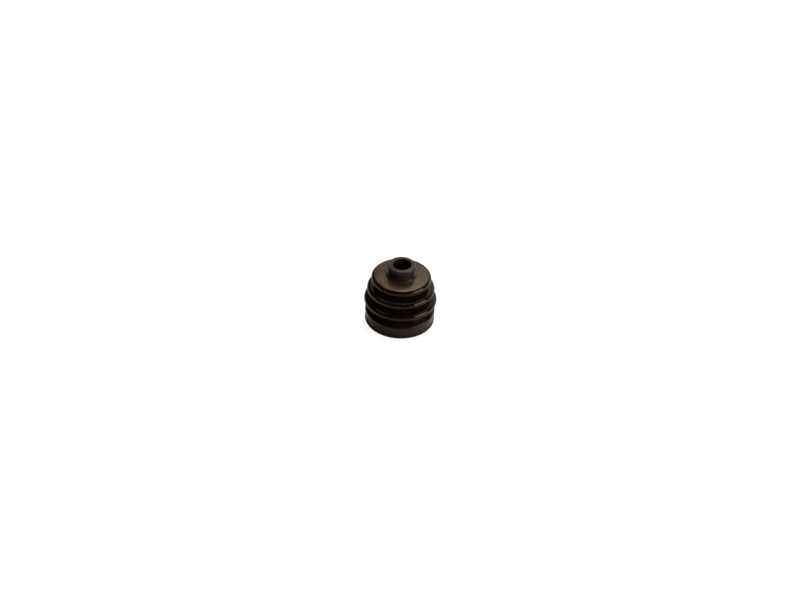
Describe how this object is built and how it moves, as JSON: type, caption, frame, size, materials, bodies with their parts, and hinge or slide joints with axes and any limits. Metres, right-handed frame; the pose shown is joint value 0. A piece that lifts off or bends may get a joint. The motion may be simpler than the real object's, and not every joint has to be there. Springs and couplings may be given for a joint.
{
  "type": "cv joint boot",
  "caption": "Hollow black rubber bellows with a wide collar at one end, stepped round convolutions, a flat shoulder and a narrow clamping neck at the other.",
  "frame": {"origin": "centre of the large end's face, where the axis meets the surface that the boot stands on", "axes": "+Z along the axis from the large end to the small end; the boot is round, so X and Y are free"},
  "size_m": [0.0912, 0.0912, 0.0827],
  "materials": {
    "rubber": "moulded, satin, with a faint brown bloom"
  },
  "bodies": {
    "root": {"boot": "rubber"}
  },
  "joints": []
}
